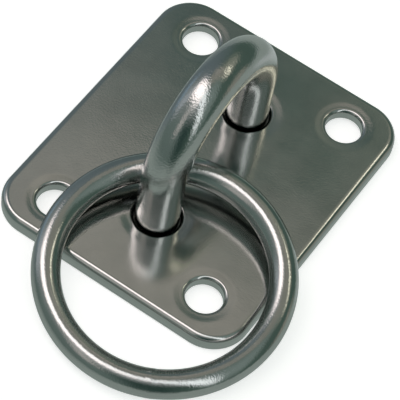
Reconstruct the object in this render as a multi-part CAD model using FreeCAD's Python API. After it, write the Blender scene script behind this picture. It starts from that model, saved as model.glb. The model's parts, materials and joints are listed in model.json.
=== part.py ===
"""Pad eye: a stamped stainless plate, a bent round-bar eye welded through it, and a loose round ring.

Millimetres.  The origin is the centre of the four screw holes on the plate's underside, +Z points out of
the deck, the eye's two legs stand in a line along Y and the plate's short side runs along X.
"""
import FreeCAD, Part
import math
import os
from FreeCAD import Rotation, Vector

# ---------------------------------------------------------------- driving dimensions
PLATE_LENGTH = 60.0            # along Y
PLATE_WIDTH = 49.5             # along X
PLATE_THICKNESS = 3.0
CORNER_RADIUS = 7.0
TOP_EDGE_RADIUS = 1.2          # tumbled upper edge
LOWER_EDGE_RADIUS = 0.4

SCREW_SPACING_X = 31.0
SCREW_SPACING_Y = 44.5
SCREW_HOLE_RADIUS = 3.3        # M6 screws
SCREW_RIM_RADIUS = 0.7         # rolled rim left by the punch
SCREW_DISH_RADIUS = 5.5        # where the shallow dish round the hole runs out
SCREW_DISH_DEPTH = 0.05
SCREW_EASING = 0.9             # 45 degree easing of the hole under the plate

BAR_RADIUS = 3.9               # 8 mm bar, polished down to 7.8
LEG_SPACING = 28.0             # centre to centre
LEG_STRAIGHT = 10.0            # straight leg above the plate, before the bend
LEG_HOLE_CLEARANCE = 0.2       # gap all round the leg in its punched hole
LEG_RIM_RADIUS = 0.7
LEG_DISH_RADIUS = 6.8
LEG_DISH_DEPTH = 0.06
WELD_PREP = 1.3                # 45 degree countersink under the plate that holds the weld

RING_INNER_DIAMETER = 35.0
RING_WIRE_RADIUS = 2.5
RING_WELD_LENGTH = 2.4         # along the wire
RING_WELD_CROWN = 0.03         # how far the dressed bead stands proud of the wire
RING_WELD_AZIMUTH = -62.0      # degrees from +X, seen from above, before the ring is tilted

# The ring lies over two edges of the plate, with its outer side just above the deck.
RING_CENTRE = Vector(8.4, -24.1, 5.24)
RING_NORMAL = Vector(0.058, -0.117, 1.0)

# ---------------------------------------------------------------- worked out from them
RING_RADIUS = RING_INNER_DIAMETER / 2 + RING_WIRE_RADIUS
BEND_RADIUS = LEG_SPACING / 2
BEND_CENTRE_Z = PLATE_THICKNESS + LEG_STRAIGHT
LEG_HOLE_RADIUS = BAR_RADIUS + LEG_HOLE_CLEARANCE
UP = Vector(0, 0, 1)


def rounded_corner_face():
    """The plate's outline on the deck: a rectangle with four round corners."""
    x = PLATE_WIDTH / 2
    y = PLATE_LENGTH / 2
    r = CORNER_RADIUS
    slant = r * math.sqrt(0.5)
    edges = []
    for turn in range(4):
        half_across, half_along = (x, y) if turn % 2 == 0 else (y, x)
        side_start = Vector(half_across, -half_along + r, 0)
        side_end = Vector(half_across, half_along - r, 0)
        middle = Vector(half_across - r + slant, half_along - r + slant, 0)
        arc_end = Vector(half_across - r, half_along, 0)
        spin = Rotation(UP, 90 * turn)
        edges.append(Part.LineSegment(spin.multVec(side_start), spin.multVec(side_end)).toShape())
        edges.append(Part.Arc(*(spin.multVec(p) for p in (side_end, middle, arc_end))).toShape())
    return Part.Face(Part.Wire(edges))


def edges_at_height(shape, z):
    """All edges of the shape that lie flat at one height."""
    return [e for e in shape.Edges if abs(e.BoundBox.ZMin - z) < 1e-6 and abs(e.BoundBox.ZMax - z) < 1e-6]


def punched_hole(radius, rim, dish_radius, dish_depth, countersink):
    """What a hole takes out of the plate: a bore, a rolled rim and shallow dish above, a countersink below."""
    top = PLATE_THICKNESS
    over = 1.0
    rim_top = top - dish_depth
    rim_foot = rim_top - rim
    rim_middle = Vector(radius + rim * (1 - math.sqrt(0.5)), 0, rim_foot + rim * math.sqrt(0.5))
    below = Part.makePolygon([
        Vector(0, 0, -over),
        Vector(radius + countersink + over, 0, -over),
        Vector(radius, 0, countersink),
        Vector(radius, 0, rim_foot),
    ]).Edges
    rolled = Part.Arc(Vector(radius, 0, rim_foot), rim_middle, Vector(radius + rim, 0, rim_top)).toShape()
    above = Part.makePolygon([
        Vector(radius + rim, 0, rim_top),
        Vector(dish_radius, 0, top),
        Vector(dish_radius, 0, top + over),
        Vector(0, 0, top + over),
        Vector(0, 0, -over),
    ]).Edges
    return Part.Face(Part.Wire(below + [rolled] + above)).revolve(Vector(0, 0, 0), UP, 360)


def base_plate():
    """Stamped plate with four screw holes and two holes for the legs of the eye."""
    plate = rounded_corner_face().extrude(UP * PLATE_THICKNESS)
    plate = plate.makeFillet(TOP_EDGE_RADIUS, edges_at_height(plate, PLATE_THICKNESS))
    plate = plate.makeFillet(LOWER_EDGE_RADIUS, edges_at_height(plate, 0))
    screw_hole = punched_hole(SCREW_HOLE_RADIUS, SCREW_RIM_RADIUS, SCREW_DISH_RADIUS, SCREW_DISH_DEPTH, SCREW_EASING)
    leg_hole = punched_hole(LEG_HOLE_RADIUS, LEG_RIM_RADIUS, LEG_DISH_RADIUS, LEG_DISH_DEPTH, WELD_PREP)
    for side_y in (-1, 1):
        for side_x in (-1, 1):
            place = Vector(side_x * SCREW_SPACING_X / 2, side_y * SCREW_SPACING_Y / 2, 0)
            plate = plate.cut(screw_hole.translated(place))
        plate = plate.cut(leg_hole.translated(Vector(0, side_y * LEG_SPACING / 2, 0)))
    return plate


def eye_bow():
    """Round bar bent to a U: two straight legs through the plate and a half circle over the top."""
    half = LEG_SPACING / 2
    front_foot = Vector(0, -half, 0)
    front_bend = Vector(0, -half, BEND_CENTRE_Z)
    crown = Vector(0, 0, BEND_CENTRE_Z + BEND_RADIUS)
    rear_bend = Vector(0, half, BEND_CENTRE_Z)
    rear_foot = Vector(0, half, 0)
    path = Part.Wire([
        Part.LineSegment(front_foot, front_bend).toShape(),
        Part.Arc(front_bend, crown, rear_bend).toShape(),
        Part.LineSegment(rear_bend, rear_foot).toShape(),
    ])
    section = Part.Wire([Part.Circle(front_foot, UP, BAR_RADIUS).toShape()])
    return Part.Solid(path.makePipeShell([section], True, False))


def leg_weld(side_y):
    """Weld that fills the countersink round a leg under the plate, ground flush with the underside."""
    profile = Part.makePolygon([
        Vector(BAR_RADIUS, 0, 0),
        Vector(LEG_HOLE_RADIUS + WELD_PREP, 0, 0),
        Vector(LEG_HOLE_RADIUS, 0, WELD_PREP),
        Vector(BAR_RADIUS, 0, WELD_PREP),
        Vector(BAR_RADIUS, 0, 0),
    ])
    weld = Part.Face(profile).revolve(Vector(0, 0, 0), UP, 360)
    return weld.translated(Vector(0, side_y * LEG_SPACING / 2, 0))


def laid_down(shape):
    """Take a ring part from round the Z axis at the origin to where the ring lies on the plate."""
    tilt = Rotation(UP, RING_NORMAL)
    return shape.transformed(FreeCAD.Placement(RING_CENTRE, tilt).toMatrix())


def ring_arc(wire_radius, first_degree, last_degree):
    """A stretch of round wire bent to the ring's circle, between two azimuths."""
    arc = Part.makeTorus(RING_RADIUS, wire_radius, Vector(0, 0, 0), UP, -180, 180, last_degree - first_degree)
    arc.rotate(Vector(0, 0, 0), UP, first_degree)
    return laid_down(arc)


def ring():
    """Round wire bent to a circle, up to the two cut ends that the weld joins."""
    half_gap = math.degrees(RING_WELD_LENGTH / 2 / RING_RADIUS)
    return ring_arc(RING_WIRE_RADIUS, RING_WELD_AZIMUTH + half_gap, RING_WELD_AZIMUTH + 360 - half_gap)


def ring_weld():
    """Butt weld that closes the ring, dressed almost flush."""
    half_gap = math.degrees(RING_WELD_LENGTH / 2 / RING_RADIUS)
    crowned = RING_WIRE_RADIUS + RING_WELD_CROWN
    return ring_arc(crowned, RING_WELD_AZIMUTH - half_gap, RING_WELD_AZIMUTH + half_gap)


os.makedirs("parts", exist_ok=True)
NODES = {
    "base_plate": base_plate(),
    "eye_bow": eye_bow(),
    "front_leg_weld": leg_weld(-1),
    "rear_leg_weld": leg_weld(1),
    "ring": ring(),
    "ring_weld": ring_weld(),
}
for name, shape in NODES.items():
    shape.exportStep(f"parts/{name}.step")
    print(name, "valid", shape.isValid(), "solids", len(shape.Solids), "volume", round(shape.Volume, 1))
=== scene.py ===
"""Looks of the pad eye: stamped stainless plate, bent round-bar eye welded through it, loose round ring.

Metres, +Z out of the deck.  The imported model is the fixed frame, and every piece is put where its nodes are.
"""

import json
import math

import bpy
from mathutils import Matrix, Quaternion, Vector


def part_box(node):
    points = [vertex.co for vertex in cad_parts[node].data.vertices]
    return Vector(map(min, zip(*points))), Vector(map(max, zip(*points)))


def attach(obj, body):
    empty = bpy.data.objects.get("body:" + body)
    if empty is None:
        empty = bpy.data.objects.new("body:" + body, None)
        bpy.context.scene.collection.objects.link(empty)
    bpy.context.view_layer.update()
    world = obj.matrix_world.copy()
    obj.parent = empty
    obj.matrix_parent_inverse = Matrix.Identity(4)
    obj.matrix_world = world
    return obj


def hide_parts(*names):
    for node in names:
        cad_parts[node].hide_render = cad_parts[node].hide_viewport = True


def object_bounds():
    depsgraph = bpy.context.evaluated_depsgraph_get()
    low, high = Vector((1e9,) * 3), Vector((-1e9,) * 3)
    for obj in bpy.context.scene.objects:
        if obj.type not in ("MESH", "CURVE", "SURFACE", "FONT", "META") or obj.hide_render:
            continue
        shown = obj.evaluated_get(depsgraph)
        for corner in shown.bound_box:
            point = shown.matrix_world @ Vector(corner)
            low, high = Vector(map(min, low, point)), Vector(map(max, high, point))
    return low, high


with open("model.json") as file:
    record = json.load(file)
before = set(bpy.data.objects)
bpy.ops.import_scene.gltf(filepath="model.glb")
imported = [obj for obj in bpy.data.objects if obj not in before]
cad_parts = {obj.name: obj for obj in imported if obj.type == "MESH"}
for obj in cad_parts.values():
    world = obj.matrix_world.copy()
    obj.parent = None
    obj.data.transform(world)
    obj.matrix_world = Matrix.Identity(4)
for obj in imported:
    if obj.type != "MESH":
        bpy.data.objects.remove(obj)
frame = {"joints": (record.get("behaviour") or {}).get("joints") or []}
cad_low, cad_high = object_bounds()
MM = 0.001

# ---------------------------------------------------------------------------------------------- camera
# A long lens that looks down on the deck from beyond the ring, a little to its right.  It is tipped, so that
# the eye leans to the right and the ring hangs towards the lower left.
CAMERA_LENS = 200.0
CAMERA_AZIMUTH = math.radians(24.77)
CAMERA_ELEVATION = math.radians(55.72)
CAMERA_ROLL = math.radians(11.36)
CAMERA_DISTANCE = 383.4 * MM
CAMERA_CLIP_START = 20 * MM
AIM_FROM_PLATE = Vector((4.09, -6.93, 0.0)) * MM

plate_low, plate_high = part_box("base_plate")
plate_middle = (plate_low + plate_high) / 2
plate_top = Vector((plate_middle.x, plate_middle.y, plate_high.z))
towards_camera = Vector((
    math.sin(CAMERA_AZIMUTH) * math.cos(CAMERA_ELEVATION),
    -math.cos(CAMERA_AZIMUTH) * math.cos(CAMERA_ELEVATION),
    math.sin(CAMERA_ELEVATION),
))
bpy.ops.object.camera_add(location=plate_top + AIM_FROM_PLATE + towards_camera * CAMERA_DISTANCE)
camera = bpy.context.object
camera.rotation_mode = "QUATERNION"
level = (-towards_camera).to_track_quat("-Z", "Y")
camera.rotation_quaternion = level @ Quaternion((0, 0, 1), CAMERA_ROLL)
camera.data.lens = CAMERA_LENS
camera.data.clip_start = CAMERA_CLIP_START
bpy.context.scene.camera = camera

# ------------------------------------------------------------------------------------------- the studio
# A dim greenish room over a grey bench, with one large soft lamp overhead to the left, a narrow one to the
# right and warm cards at the back.  They are soft patches of the world, seen as reflections in the steel.
WALL = (0.080, 0.126, 0.106)
BENCH = (0.31, 0.365, 0.34)
BENCH_FROM, BENCH_FULL = 0.03, -0.12      # upward run of a ray where the bench begins and where it is full
PALE_BACKDROP = (0.97, 0.97, 0.965)
LEAST_AHEAD = 0.01                        # keeps a panel's slopes finite for rays that run beside it
FACING_FADE = 0.05                        # forward run of a ray over which a panel fades in

# Each panel, laid over the ones before it: degrees towards +X and +Y from straight overhead, turn of its
# width anticlockwise from +X, half width, half depth, softness of its sides and of its ends, and colour.
PANELS = {
    "bench glow": (29, 122, -39, 26, 4, 2.5, 7, (0.47, 0.52, 0.51)),
    "right wall": (43, 0.5, -22, 30, 11, 25, 6, (0.22, 0.28, 0.26)),
    "brown wall": (70, 48, -30, 12, 8, 6, 5, (0.29, 0.29, 0.25)),
    "warm card": (2, 25.5, 35, 24, 13, 1.5, 2.5, (0.27, 0.275, 0.24)),
    "warm wall": (7.5, 42, -25, 12.5, 12.5, 19.5, 2.5, (0.27, 0.29, 0.24)),
    "yellow haze": (20, 33.5, -10, 9, 4.5, 11, 3, (0.40, 0.40, 0.34)),
    "yellow lamp": (19, 35, -10, 11, 1.6, 5, 0.8, (2.4, 2.3, 1.85)),
    "left card": (-16, 28, -13, 15, 3.4, 8, 1.4, (0.40, 0.385, 0.345)),
    "left wall": (-39, -48.5, 54, 31, 45, 25, 25, (0.15, 0.20, 0.185)),
    "dark door": (29, -51.5, 37, 14, 30.5, 16, 25, (0.03, 0.06, 0.052)),
    "blue wall": (-70, 28, -20, 45, 24.5, 7, 24.5, (0.15, 0.19, 0.205)),
    "blue window": (-84, 14, 0, 9, 11, 6, 6, (0.26, 0.36, 0.44)),
    "lamp haze": (-25.5, -13, -15, 46, 16, 25, 20, (0.27, 0.30, 0.295)),
    "left glow": (-65, -7, 15, 14, 9, 9, 8, (0.43, 0.47, 0.50)),
    "low strip": (-15, -41, 0, 8, 15, 6, 8, (0.50, 0.49, 0.47)),
    "low lamp": (-9, -16, -14, 17, 8, 9, 6, (0.72, 0.72, 0.71)),
    "main lamp": (-22, -3, -14, 23, 10, 14, 5, (2.2, 2.0, 1.98)),
    "side lamp": (30, -15.5, -20.5, 33, 5, 24, 4.5, (1.5, 1.58, 1.6)),
}


def maths(tree, kind, *values):
    """One maths node of a node tree, fed with sockets or plain numbers."""
    node = tree.nodes.new("ShaderNodeMath")
    node.operation = kind
    for socket, value in zip(node.inputs, values):
        if isinstance(value, (int, float)):
            socket.default_value = value
        else:
            tree.links.new(value, socket)
    return node.outputs[0]


def share_between(tree, value, start, end):
    """A smooth step from 0 at start to 1 at end."""
    node = tree.nodes.new("ShaderNodeMapRange")
    node.interpolation_type = "SMOOTHSTEP"
    node.inputs["From Min"].default_value = start
    node.inputs["From Max"].default_value = end
    tree.links.new(value, node.inputs["Value"])
    return node.outputs["Result"]


def lay_over(tree, below, colour, share):
    """A plain colour laid over what is there already."""
    node = tree.nodes.new("ShaderNodeMix")
    node.data_type = "RGBA"
    node.inputs[7].default_value = (*colour, 1)
    tree.links.new(share, node.inputs[0])
    tree.links.new(below, node.inputs[6])
    return node.outputs[2]


def ray_along(axis):
    """How far the world's ray points along an axis."""
    node = world_tree.nodes.new("ShaderNodeVectorMath")
    node.operation = "DOT_PRODUCT"
    world_tree.links.new(ray, node.inputs[0])
    node.inputs[1].default_value = axis
    return node.outputs["Value"]


def soft_panel(below, to_x, to_y, turn, half_width, half_depth, side_edge, end_edge, colour):
    """A soft rectangle of light or shade on the inside of the room, placed as the table of panels says."""
    from_overhead = math.radians(math.hypot(to_x, to_y))
    bearing = math.atan2(to_y, to_x)
    middle = Quaternion((0, 0, 1), bearing) @ Vector((math.sin(from_overhead), 0, math.cos(from_overhead)))
    tip = Quaternion((-math.sin(bearing), math.cos(bearing), 0), from_overhead)
    swung = math.radians(turn)
    width_way = tip @ Vector((math.cos(swung), math.sin(swung), 0))
    depth_way = tip @ Vector((-math.sin(swung), math.cos(swung), 0))
    ahead = maths(world_tree, "MAXIMUM", ray_along(middle), LEAST_AHEAD)
    share = share_between(world_tree, ray_along(middle), 0.0, FACING_FADE)
    for way, half, edge in ((width_way, half_width, side_edge), (depth_way, half_depth, end_edge)):
        off_middle = maths(world_tree, "DIVIDE", maths(world_tree, "ABSOLUTE", ray_along(way)), ahead)
        inside = math.tan(math.radians(max(half - edge, 0)))
        outside = math.tan(math.radians(half + edge))
        share = maths(world_tree, "MULTIPLY", share, share_between(world_tree, off_middle, outside, inside))
    return lay_over(world_tree, below, colour, share)


world = bpy.data.worlds.new("studio")
bpy.context.scene.world = world
world.use_nodes = True
world_tree = world.node_tree
world_tree.nodes.clear()
ray = world_tree.nodes.new("ShaderNodeTexCoord").outputs["Generated"]
wall = world_tree.nodes.new("ShaderNodeRGB").outputs[0]
wall.default_value = (*WALL, 1)
over_bench = share_between(world_tree, ray_along((0, 0, 1)), BENCH_FROM, BENCH_FULL)
room = lay_over(world_tree, wall, BENCH, over_bench)
for panel in PANELS.values():
    room = soft_panel(room, *panel)
reflected = world_tree.nodes.new("ShaderNodeBackground")
world_tree.links.new(room, reflected.inputs["Color"])
backdrop = world_tree.nodes.new("ShaderNodeBackground")
backdrop.inputs["Color"].default_value = (*PALE_BACKDROP, 1)
seen_direct = world_tree.nodes.new("ShaderNodeLightPath").outputs["Is Camera Ray"]
either = world_tree.nodes.new("ShaderNodeMixShader")
world_tree.links.new(seen_direct, either.inputs[0])
world_tree.links.new(reflected.outputs[0], either.inputs[1])
world_tree.links.new(backdrop.outputs[0], either.inputs[2])
world_tree.links.new(either.outputs[0], world_tree.nodes.new("ShaderNodeOutputWorld").inputs["Surface"])
bpy.context.scene.view_settings.view_transform = "Standard"

# --------------------------------------------------------------------------------------------- floor
# A plain pale sheet at deck level, large enough to fill every view, lit from below like a light table.
# It is left out of the reflections in the steel, which are of the room alone.
FLOOR_SIZE = 4.0
FLOOR_COLOUR = (0.9, 0.9, 0.895)
FLOOR_ROUGHNESS = 0.9
FLOOR_GLOW_COLOUR = (1, 1, 0.995)
FLOOR_GLOW = 0.66

bpy.ops.mesh.primitive_plane_add(size=FLOOR_SIZE, location=(plate_middle.x, plate_middle.y, cad_low.z))
floor = bpy.context.object
floor.name = "floor"
pale = bpy.data.materials.new("pale_floor")
pale.use_nodes = True
sheet = pale.node_tree.nodes["Principled BSDF"]
sheet.inputs["Base Color"].default_value = (*FLOOR_COLOUR, 1)
sheet.inputs["Roughness"].default_value = FLOOR_ROUGHNESS
sheet.inputs["Emission Color"].default_value = (*FLOOR_GLOW_COLOUR, 1)
sheet.inputs["Emission Strength"].default_value = FLOOR_GLOW
floor.data.materials.append(pale)
floor.visible_glossy = False

# ---------------------------------------------------------------------------------------- base plate
# The base plate is 3 mm 316 stainless sheet, blanked in a press and tumbled, so its top edge is rolled over.
# Each hole is punched from above, which draws the metal round it down into a shallow dish with a round rim.
PLATE_CORNER = 7.0 * MM
TOP_EDGE = 1.2 * MM
LOWER_EDGE = 0.4 * MM
CORNER_SEGMENTS, TOP_SEGMENTS, LOWER_SEGMENTS = 24, 9, 4
FACE_INSET = 0.15 * MM
SCREW_ACROSS = 31.0 * MM
SCREW_ALONG = 44.5 * MM
# What each kind of hole measures: bore, rolled rim, dish and its depth, easing or countersink underneath.
SCREW_HOLE = {"bore": 3.3 * MM, "rim": 0.7 * MM, "dish": 5.5 * MM, "depth": 0.05 * MM, "under": 0.9 * MM}
LEG_HOLE = {"bore": 4.1 * MM, "rim": 0.7 * MM, "dish": 6.8 * MM, "depth": 0.06 * MM, "under": 1.3 * MM}
HOLE_SIDES = 96
DISH_STEPS = 12
RIM_STEPS = 9
FLAT_OUTSIDE, FLAT_INSIDE = 0.5 * MM, 0.2 * MM      # flat of the top face kept round each dish
FLAT_UNDER = 0.2 * MM                               # flat of the underside kept round each easing
BORE_END = 0.05 * MM
CORNER_BREAK = 0.02 * MM
LEVEL = 1e-6                                        # heights closer than this count as the same
FACES_UP, EXACTLY_UP = 0.9999, 0.999999             # how upright a face's normal has to be
LARGE_FACE = 100 * MM * MM
# The marks that polishing leaves: waves per metre, and the band of each pattern that is spread out to full.
TONE_SCALE, TONE_BAND = 140.0, (0.35, 0.7)
SMEAR_SCALE, SMEAR_BAND = 90.0, (0.35, 0.72)
WAVE_SCALE = 170.0
# Colour of the shade painted into the crevices round the legs.
CREVICE_SHADE = (0.045, 0.055, 0.048)


def new_piece(name):
    """Name the object that was just added and put its place into its mesh."""
    piece = bpy.context.object
    piece.name = name
    bpy.ops.object.transform_apply(location=True, rotation=True, scale=True)
    return piece


def pick(piece, kind, wanted):
    """In edit mode, select the vertices, edges or faces of a piece that a test on them accepts."""
    bpy.ops.mesh.select_mode(type=kind)
    bpy.ops.mesh.select_all(action="DESELECT")
    bpy.ops.object.mode_set(mode="OBJECT")
    mesh = piece.data
    elements = {"VERT": mesh.vertices, "EDGE": mesh.edges, "FACE": mesh.polygons}[kind]
    for element in elements:
        element.select = wanted(element)
    bpy.ops.object.mode_set(mode="EDIT")


def next_loop(centre, scale, rise):
    """Carry the selected loop on: a new loop, larger or smaller about its centre, and higher or lower."""
    bpy.ops.mesh.extrude_edges_move(TRANSFORM_OT_translate={"value": (0, 0, rise)})
    bpy.ops.transform.resize(value=(scale, scale, 1), center_override=centre)


def turned_skin(name, middle, steps, sides):
    """A skin turned about an upright line, through radii and heights in order.  Left in edit mode."""
    radius, height = steps[0]
    bpy.ops.object.select_all(action="DESELECT")
    bpy.ops.mesh.primitive_circle_add(vertices=sides, radius=radius, location=(middle.x, middle.y, height))
    skin = new_piece(name)
    bpy.ops.object.mode_set(mode="EDIT")
    bpy.ops.mesh.select_all(action="SELECT")
    for next_radius, next_height in steps[1:]:
        next_loop((middle.x, middle.y, height), next_radius / radius, next_height - height)
        radius, height = next_radius, next_height
    return skin


def dress(piece, material):
    """Give a piece one material all over."""
    piece.data.materials.clear()
    piece.data.materials.append(material)


def hole_profile(hole, top):
    """Radii and heights down through a hole, from the flat round it to the flat underneath."""
    bore, rim, dish, depth, under = (hole[key] for key in ("bore", "rim", "dish", "depth", "under"))
    rim_radius = bore + rim
    rim_top = top - depth
    steps = [(dish + FLAT_OUTSIDE, top), (dish + FLAT_INSIDE, top)]
    for i in range(1, DISH_STEPS):
        share = i / DISH_STEPS
        fall = share * share * (3 - 2 * share)
        steps.append((dish + (rim_radius - dish) * share, top - depth * fall))
    for i in range(RIM_STEPS + 1):
        turn = math.radians(90 * i / RIM_STEPS)
        steps.append((rim_radius - rim * math.sin(turn), rim_top - rim * (1 - math.cos(turn))))
    steps.append((bore, under + BORE_END))
    steps.append((bore + CORNER_BREAK, under))
    steps.append((bore + under, CORNER_BREAK))
    steps.append((bore + under + CORNER_BREAK, 0.0))
    steps.append((bore + under + FLAT_UNDER, 0.0))
    return steps


def punched_hole(name, hole):
    """The wall of one hole at the plate's middle, as one skin from the top face to the underside."""
    skin = turned_skin(name, plate_middle, hole_profile(hole, plate_high.z), HOLE_SIDES)
    bpy.ops.object.mode_set(mode="OBJECT")
    return skin


def stands_upright(edge):
    """A test for the four corner edges of the blank."""
    a, b = (plate.data.vertices[i].co for i in edge.vertices)
    return abs(a.z - b.z) > MM


def lies_at(height):
    """A test for edges that lie level at one height."""
    return lambda edge: all(abs(plate.data.vertices[i].co.z - height) < LEVEL for i in edge.vertices)


def steel(name, pale, dull, grain_size, grain_height, smooth, rough):
    """Polished stainless steel: two close tones, smears of duller polish, fine grain and slow waves.

    grain_size and grain_height are in metres; smooth and rough are the two ends of its roughness.
    """
    made = bpy.data.materials.new(name)
    made.use_nodes = True
    nodes, links = made.node_tree.nodes, made.node_tree.links
    metal = nodes["Principled BSDF"]
    metal.inputs["Metallic"].default_value = 1.0
    place = nodes.new("ShaderNodeTexCoord").outputs["Object"]

    def noise(scale, detail):
        node = nodes.new("ShaderNodeTexNoise")
        node.inputs["Scale"].default_value = scale
        node.inputs["Detail"].default_value = detail
        links.new(place, node.inputs["Vector"])
        return node.outputs["Fac"]

    def spread(value, band, to_low, to_high):
        node = nodes.new("ShaderNodeMapRange")
        node.inputs["From Min"].default_value = band[0]
        node.inputs["From Max"].default_value = band[1]
        node.inputs["To Min"].default_value = to_low
        node.inputs["To Max"].default_value = to_high
        links.new(value, node.inputs["Value"])
        return node.outputs["Result"]

    def bump(height, distance):
        node = nodes.new("ShaderNodeBump")
        node.inputs["Distance"].default_value = distance
        links.new(height, node.inputs["Height"])
        return node

    tone = nodes.new("ShaderNodeMix")
    tone.data_type = "RGBA"
    tone.inputs[6].default_value = (*pale, 1)
    tone.inputs[7].default_value = (*dull, 1)
    links.new(spread(noise(TONE_SCALE, 4.0), TONE_BAND, 0.0, 1.0), tone.inputs[0])
    links.new(tone.outputs[2], metal.inputs["Base Color"])
    links.new(spread(noise(SMEAR_SCALE, 6.0), SMEAR_BAND, smooth, rough), metal.inputs["Roughness"])
    grain = bump(noise(1.0 / grain_size, 2.0), grain_height)
    waves = bump(noise(WAVE_SCALE, 1.0), 2 * grain_height)
    links.new(waves.outputs["Normal"], grain.inputs["Normal"])
    links.new(grain.outputs["Normal"], metal.inputs["Normal"])
    return made


def paint_shade_round_legs(made, unshaded_out, black_in, unshaded_up, black_down):
    """Painted shade in the crevice where each leg goes down through the plate.

    It fades from black to unshaded over two distances from a leg's axis and two heights above the top face.
    """
    tree = made.node_tree
    metal = tree.nodes["Principled BSDF"]
    apart = tree.nodes.new("ShaderNodeSeparateXYZ")
    tree.links.new(tree.nodes.new("ShaderNodeTexCoord").outputs["Object"], apart.inputs[0])
    across = maths(tree, "SUBTRACT", apart.outputs["X"], plate_middle.x)
    from_middle = maths(tree, "ABSOLUTE", maths(tree, "SUBTRACT", apart.outputs["Y"], plate_middle.y))
    along = maths(tree, "SUBTRACT", from_middle, leg_out)
    across_squared = maths(tree, "MULTIPLY", across, across)
    along_squared = maths(tree, "MULTIPLY", along, along)
    out = maths(tree, "SQRT", maths(tree, "ADD", across_squared, along_squared))
    near = share_between(tree, out, unshaded_out, black_in)
    low = share_between(tree, apart.outputs["Z"], plate_high.z + unshaded_up, plate_high.z + black_down)
    bare = metal.inputs["Base Color"].links[0].from_socket
    # The painted crevice shade is laid over the steel's own colour.
    shaded = lay_over(tree, bare, CREVICE_SHADE, maths(tree, "MULTIPLY", near, low))
    tree.links.new(shaded, metal.inputs["Base Color"])


bpy.ops.object.select_all(action="DESELECT")
bpy.ops.mesh.primitive_cube_add(size=1, location=plate_middle, scale=plate_high - plate_low)
plate = new_piece("deck_plate")
bpy.ops.object.mode_set(mode="EDIT")
pick(plate, "EDGE", stands_upright)
bpy.ops.mesh.bevel(offset=PLATE_CORNER, segments=CORNER_SEGMENTS, affect="EDGES")
pick(plate, "EDGE", lies_at(plate_high.z))
bpy.ops.mesh.bevel(offset=TOP_EDGE, segments=TOP_SEGMENTS, affect="EDGES")
pick(plate, "EDGE", lies_at(plate_low.z))
bpy.ops.mesh.bevel(offset=LOWER_EDGE, segments=LOWER_SEGMENTS, affect="EDGES")
for facing in (1, -1):
    pick(plate, "FACE", lambda face: face.normal.z * facing > FACES_UP and face.area > LARGE_FACE)
    bpy.ops.mesh.inset(thickness=FACE_INSET)
    bpy.ops.mesh.delete(type="ONLY_FACE")
bpy.ops.object.mode_set(mode="OBJECT")

screw_skin = punched_hole("screw_hole", SCREW_HOLE)
leg_skin = punched_hole("leg_hole", LEG_HOLE)
leg_low, leg_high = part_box("front_leg_weld")
leg_out = abs((leg_low.y + leg_high.y) / 2 - plate_middle.y)
hole_places = [(leg_skin, 0, side * leg_out) for side in (-1, 1)]
hole_places += [(screw_skin, x * SCREW_ACROSS / 2, y * SCREW_ALONG / 2) for x in (-1, 1) for y in (-1, 1)]
bpy.ops.object.select_all(action="DESELECT")
for skin, out_x, out_y in hole_places:
    hole = skin.copy()
    hole.data = skin.data.copy()
    bpy.context.scene.collection.objects.link(hole)
    hole.data.transform(Matrix.Translation((out_x, out_y, 0)))
    hole.select_set(True)
for skin in (screw_skin, leg_skin):
    bpy.data.objects.remove(skin)
plate.select_set(True)
bpy.context.view_layer.objects.active = plate
bpy.ops.object.join()
bpy.ops.object.mode_set(mode="EDIT")
for height in (plate_high.z, plate_low.z):
    bpy.ops.mesh.select_all(action="DESELECT")
    bpy.ops.mesh.select_mode(type="EDGE")
    bpy.ops.mesh.select_non_manifold(
        extend=False, use_wire=False, use_boundary=True,
        use_multi_face=False, use_non_contiguous=False, use_verts=False,
    )
    bpy.ops.object.mode_set(mode="OBJECT")
    at_height = lies_at(height)
    for edge in plate.data.edges:
        edge.select = edge.select and at_height(edge)
    bpy.ops.object.mode_set(mode="EDIT")
    bpy.ops.mesh.fill(use_beauty=True)
bpy.ops.mesh.select_all(action="SELECT")
bpy.ops.mesh.normals_make_consistent(inside=False)
bpy.ops.mesh.faces_shade_smooth()
pick(plate, "FACE", lambda face: abs(face.normal.z) > EXACTLY_UP and len(face.vertices) == 3)
bpy.ops.mesh.faces_shade_flat()
bpy.ops.object.mode_set(mode="OBJECT")

plate_steel = steel(
    "tumbled_plate_steel", pale=(0.59, 0.592, 0.575), dull=(0.53, 0.533, 0.518),
    grain_size=0.24 * MM, grain_height=0.007 * MM, smooth=0.08, rough=0.16,
)
# Painted shade on the plate in the crevice round each leg hole.
paint_shade_round_legs(plate_steel, unshaded_out=5.0 * MM, black_in=4.0 * MM, unshaded_up=0.5 * MM, black_down=-0.6 * MM)
dress(plate, plate_steel)
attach(plate, "fixed_eye")
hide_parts("base_plate")

# ------------------------------------------------------------------------------------------------ eye
# The eye is 8 mm 316 round bar, polished down to 7.8 mm and bent cold round a former to a U.
# Its two straight legs stand in the plate's larger holes, with their cut ends flush with the underside.
BAR_SIDES = 72
LEG_LOOPS = 6
BEND_STEPS = 80
FOOT_CHAMFER = 0.3 * MM
MERGE_WITHIN = 0.001 * MM
SHARP_ABOVE = math.radians(40)
POLISHED_PALE = (0.60, 0.603, 0.588)
POLISHED_DULL = (0.54, 0.543, 0.53)

bow_low, bow_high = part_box("eye_bow")
bar_radius = (bow_high.x - bow_low.x) / 2
bend_radius = (bow_high.y - bow_low.y) / 2 - bar_radius
bend_height = bow_high.z - bar_radius - bend_radius
bow_middle = (bow_low + bow_high) / 2
bend_middle = Vector((bow_middle.x, bow_middle.y, bend_height))
foot_radius = bar_radius - FOOT_CHAMFER
front_foot = Vector((bow_middle.x, bow_middle.y - bend_radius, bow_low.z))
rear_foot = Vector((front_foot.x, bow_middle.y + bend_radius, front_foot.z))


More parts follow.
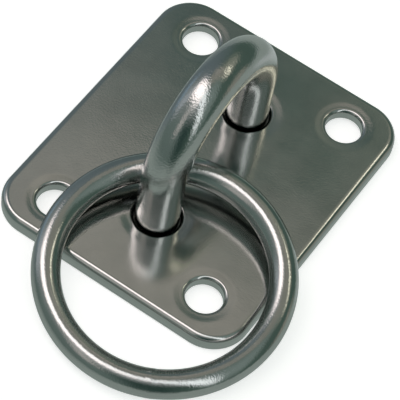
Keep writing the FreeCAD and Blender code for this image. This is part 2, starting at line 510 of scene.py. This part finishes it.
def finish_skin(sharp_above):
    """Turn the normals outwards, leave edit mode, and shade smooth all but the sharper edges."""
    bpy.ops.mesh.normals_make_consistent(inside=False)
    bpy.ops.object.mode_set(mode="OBJECT")
    bpy.ops.object.shade_smooth_by_angle(angle=sharp_above)


bpy.ops.object.select_all(action="DESELECT")
bpy.ops.mesh.primitive_circle_add(vertices=BAR_SIDES, radius=foot_radius, location=front_foot)
bow = new_piece("round_bar_eye")
bpy.ops.object.mode_set(mode="EDIT")
bpy.ops.mesh.select_all(action="SELECT")
next_loop(front_foot, bar_radius / foot_radius, FOOT_CHAMFER)
leg_rise = bend_height - bow_low.z - FOOT_CHAMFER
for _ in range(LEG_LOOPS):
    bpy.ops.mesh.extrude_edges_move(TRANSFORM_OT_translate={"value": (0, 0, leg_rise / LEG_LOOPS)})
bpy.ops.mesh.spin(steps=BEND_STEPS, angle=math.pi, center=bend_middle, axis=(1, 0, 0))
for _ in range(LEG_LOOPS):
    bpy.ops.mesh.extrude_edges_move(TRANSFORM_OT_translate={"value": (0, 0, -leg_rise / LEG_LOOPS)})
next_loop(rear_foot, foot_radius / bar_radius, -FOOT_CHAMFER)
bpy.ops.mesh.select_all(action="SELECT")
bpy.ops.mesh.remove_doubles(threshold=MERGE_WITHIN)
bpy.ops.mesh.fill_holes(sides=0)
finish_skin(SHARP_ABOVE)

bar_steel = steel(
    "polished_bar_steel", POLISHED_PALE, POLISHED_DULL,
    grain_size=0.34 * MM, grain_height=0.035 * MM, smooth=0.08, rough=0.17,
)
# Painted shade on each leg just above the plate, where it goes down into the crevice.
paint_shade_round_legs(bar_steel, unshaded_out=4.6 * MM, black_in=4.2 * MM, unshaded_up=1.0 * MM, black_down=-0.1 * MM)
dress(bow, bar_steel)
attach(bow, "fixed_eye")
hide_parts("eye_bow")

# ------------------------------------------------------------------------------------------ leg welds
# Each leg is TIG welded to the plate from underneath: the weld fills the countersink round the bar,
# and it is ground flush so that the plate can bed down on the deck.
WELD_SIDES = 72
WELD_SHARP_ABOVE = math.radians(30)
LEG_GAP = 0.2 * MM

weld_steel = steel(
    "ground_weld_steel", pale=(0.52, 0.50, 0.47), dull=(0.42, 0.40, 0.37),
    grain_size=0.5 * MM, grain_height=0.012 * MM, smooth=0.22, rough=0.4,
)
for node, name in (("front_leg_weld", "front_weld_bead"), ("rear_leg_weld", "rear_weld_bead")):
    low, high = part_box(node)
    outer = (high.x - low.x) / 2
    section = [
        (bar_radius, high.z), (bar_radius + LEG_GAP, high.z), (outer, low.z),
        (bar_radius, low.z), (bar_radius, high.z),
    ]
    bead = turned_skin(name, (low + high) / 2, section, WELD_SIDES)
    bpy.ops.mesh.select_all(action="SELECT")
    bpy.ops.mesh.remove_doubles(threshold=MERGE_WITHIN)
    finish_skin(WELD_SHARP_ABOVE)
    dress(bead, weld_steel)
    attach(bead, "fixed_eye")
    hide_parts(node)

# ----------------------------------------------------------------------------------------------- ring
# The ring is 5 mm 316 wire bent to 35 mm inside, put through the eye before its ends are joined.
# It hangs loose in the eye and lies over two edges of the plate, with its far side just above the deck.
WIRE_RADIUS = 2.5 * MM
WIRE_SIDES = 64
RING_STEPS = 220
WELD_LENGTH = 2.4 * MM

ring_low, ring_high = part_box("ring")
ring_middle = (ring_low + ring_high) / 2
swing = frame["joints"][0]
out_to_swing = Vector(swing["pos_m"]) - ring_middle
ring_radius = out_to_swing.length
ring_axis = Vector(swing["axis"]).cross(out_to_swing).normalized()
if ring_axis.z < 0:
    ring_axis.negate()
weld_low, weld_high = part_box("ring_weld")
out_to_weld = (weld_low + weld_high) / 2 - ring_middle
out_to_weld = (out_to_weld - ring_axis * out_to_weld.dot(ring_axis)).normalized()
half_weld = WELD_LENGTH / 2 / ring_radius


def wire_place(turn):
    """A point of the wire's centre line, at an angle round the ring from the middle of its weld."""
    return ring_middle + Quaternion(ring_axis, turn) @ out_to_weld * ring_radius


def wire_arc(name, start, turned, steps):
    """A length of the ring's wire, from one angle round the ring and through another.  Left in edit mode."""
    run = ring_axis.cross(Quaternion(ring_axis, start) @ out_to_weld)
    bpy.ops.object.select_all(action="DESELECT")
    facing = run.to_track_quat("Z", "Y").to_euler()
    bpy.ops.mesh.primitive_circle_add(
        vertices=WIRE_SIDES, radius=WIRE_RADIUS, location=wire_place(start), rotation=facing
    )
    piece = new_piece(name)
    bpy.ops.object.mode_set(mode="EDIT")
    bpy.ops.mesh.select_all(action="SELECT")
    bpy.ops.mesh.spin(steps=steps, angle=-turned, center=ring_middle, axis=ring_axis)
    return piece


def close_wire():
    """Close both ends of a length of wire and finish its skin."""
    bpy.ops.mesh.select_all(action="SELECT")
    bpy.ops.mesh.fill_holes(sides=0)
    finish_skin(SHARP_ABOVE)


ring = wire_arc("loose_ring", half_weld, 2 * math.pi - 2 * half_weld, RING_STEPS)
close_wire()

ring_steel = steel(
    "polished_wire_steel", POLISHED_PALE, POLISHED_DULL,
    grain_size=0.28 * MM, grain_height=0.019 * MM, smooth=0.07, rough=0.16,
)
dress(ring, ring_steel)
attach(ring, "loose_ring")
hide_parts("ring")

# ------------------------------------------------------------------------------------------ ring weld
# The two cut ends of the wire are butt welded, and the bead is dressed down and polished over,
# so that only a slight swelling and a rougher patch of grain are left.
BEAD_STEPS = 24
BEAD_CROWN = 0.03 * MM
ON_LOOP = 0.01 * MM


def on_loop(middle):
    """A test for vertices on the loop of wire round one point of its centre line."""
    run = ring_axis.cross(middle - ring_middle).normalized()

    def accept(vertex):
        out = vertex.co - middle
        return abs(out.length - WIRE_RADIUS) < ON_LOOP and abs(out.dot(run)) < ON_LOOP

    return accept


bead = wire_arc("ring_weld_bead", -half_weld, 2 * half_weld, BEAD_STEPS)
for step in range(1, BEAD_STEPS):
    middle = wire_place(half_weld * (2 * step / BEAD_STEPS - 1))
    pick(bead, "VERT", on_loop(middle))
    swell = 1 + BEAD_CROWN / WIRE_RADIUS * math.sin(math.pi * step / BEAD_STEPS) ** 2
    bpy.ops.transform.resize(value=(swell, swell, swell), center_override=middle)
close_wire()

bead_steel = steel(
    "dressed_bead_steel", POLISHED_PALE, POLISHED_DULL,
    grain_size=0.28 * MM, grain_height=0.022 * MM, smooth=0.10, rough=0.20,
)
dress(bead, bead_steel)
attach(bead, "loose_ring")
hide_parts("ring_weld")
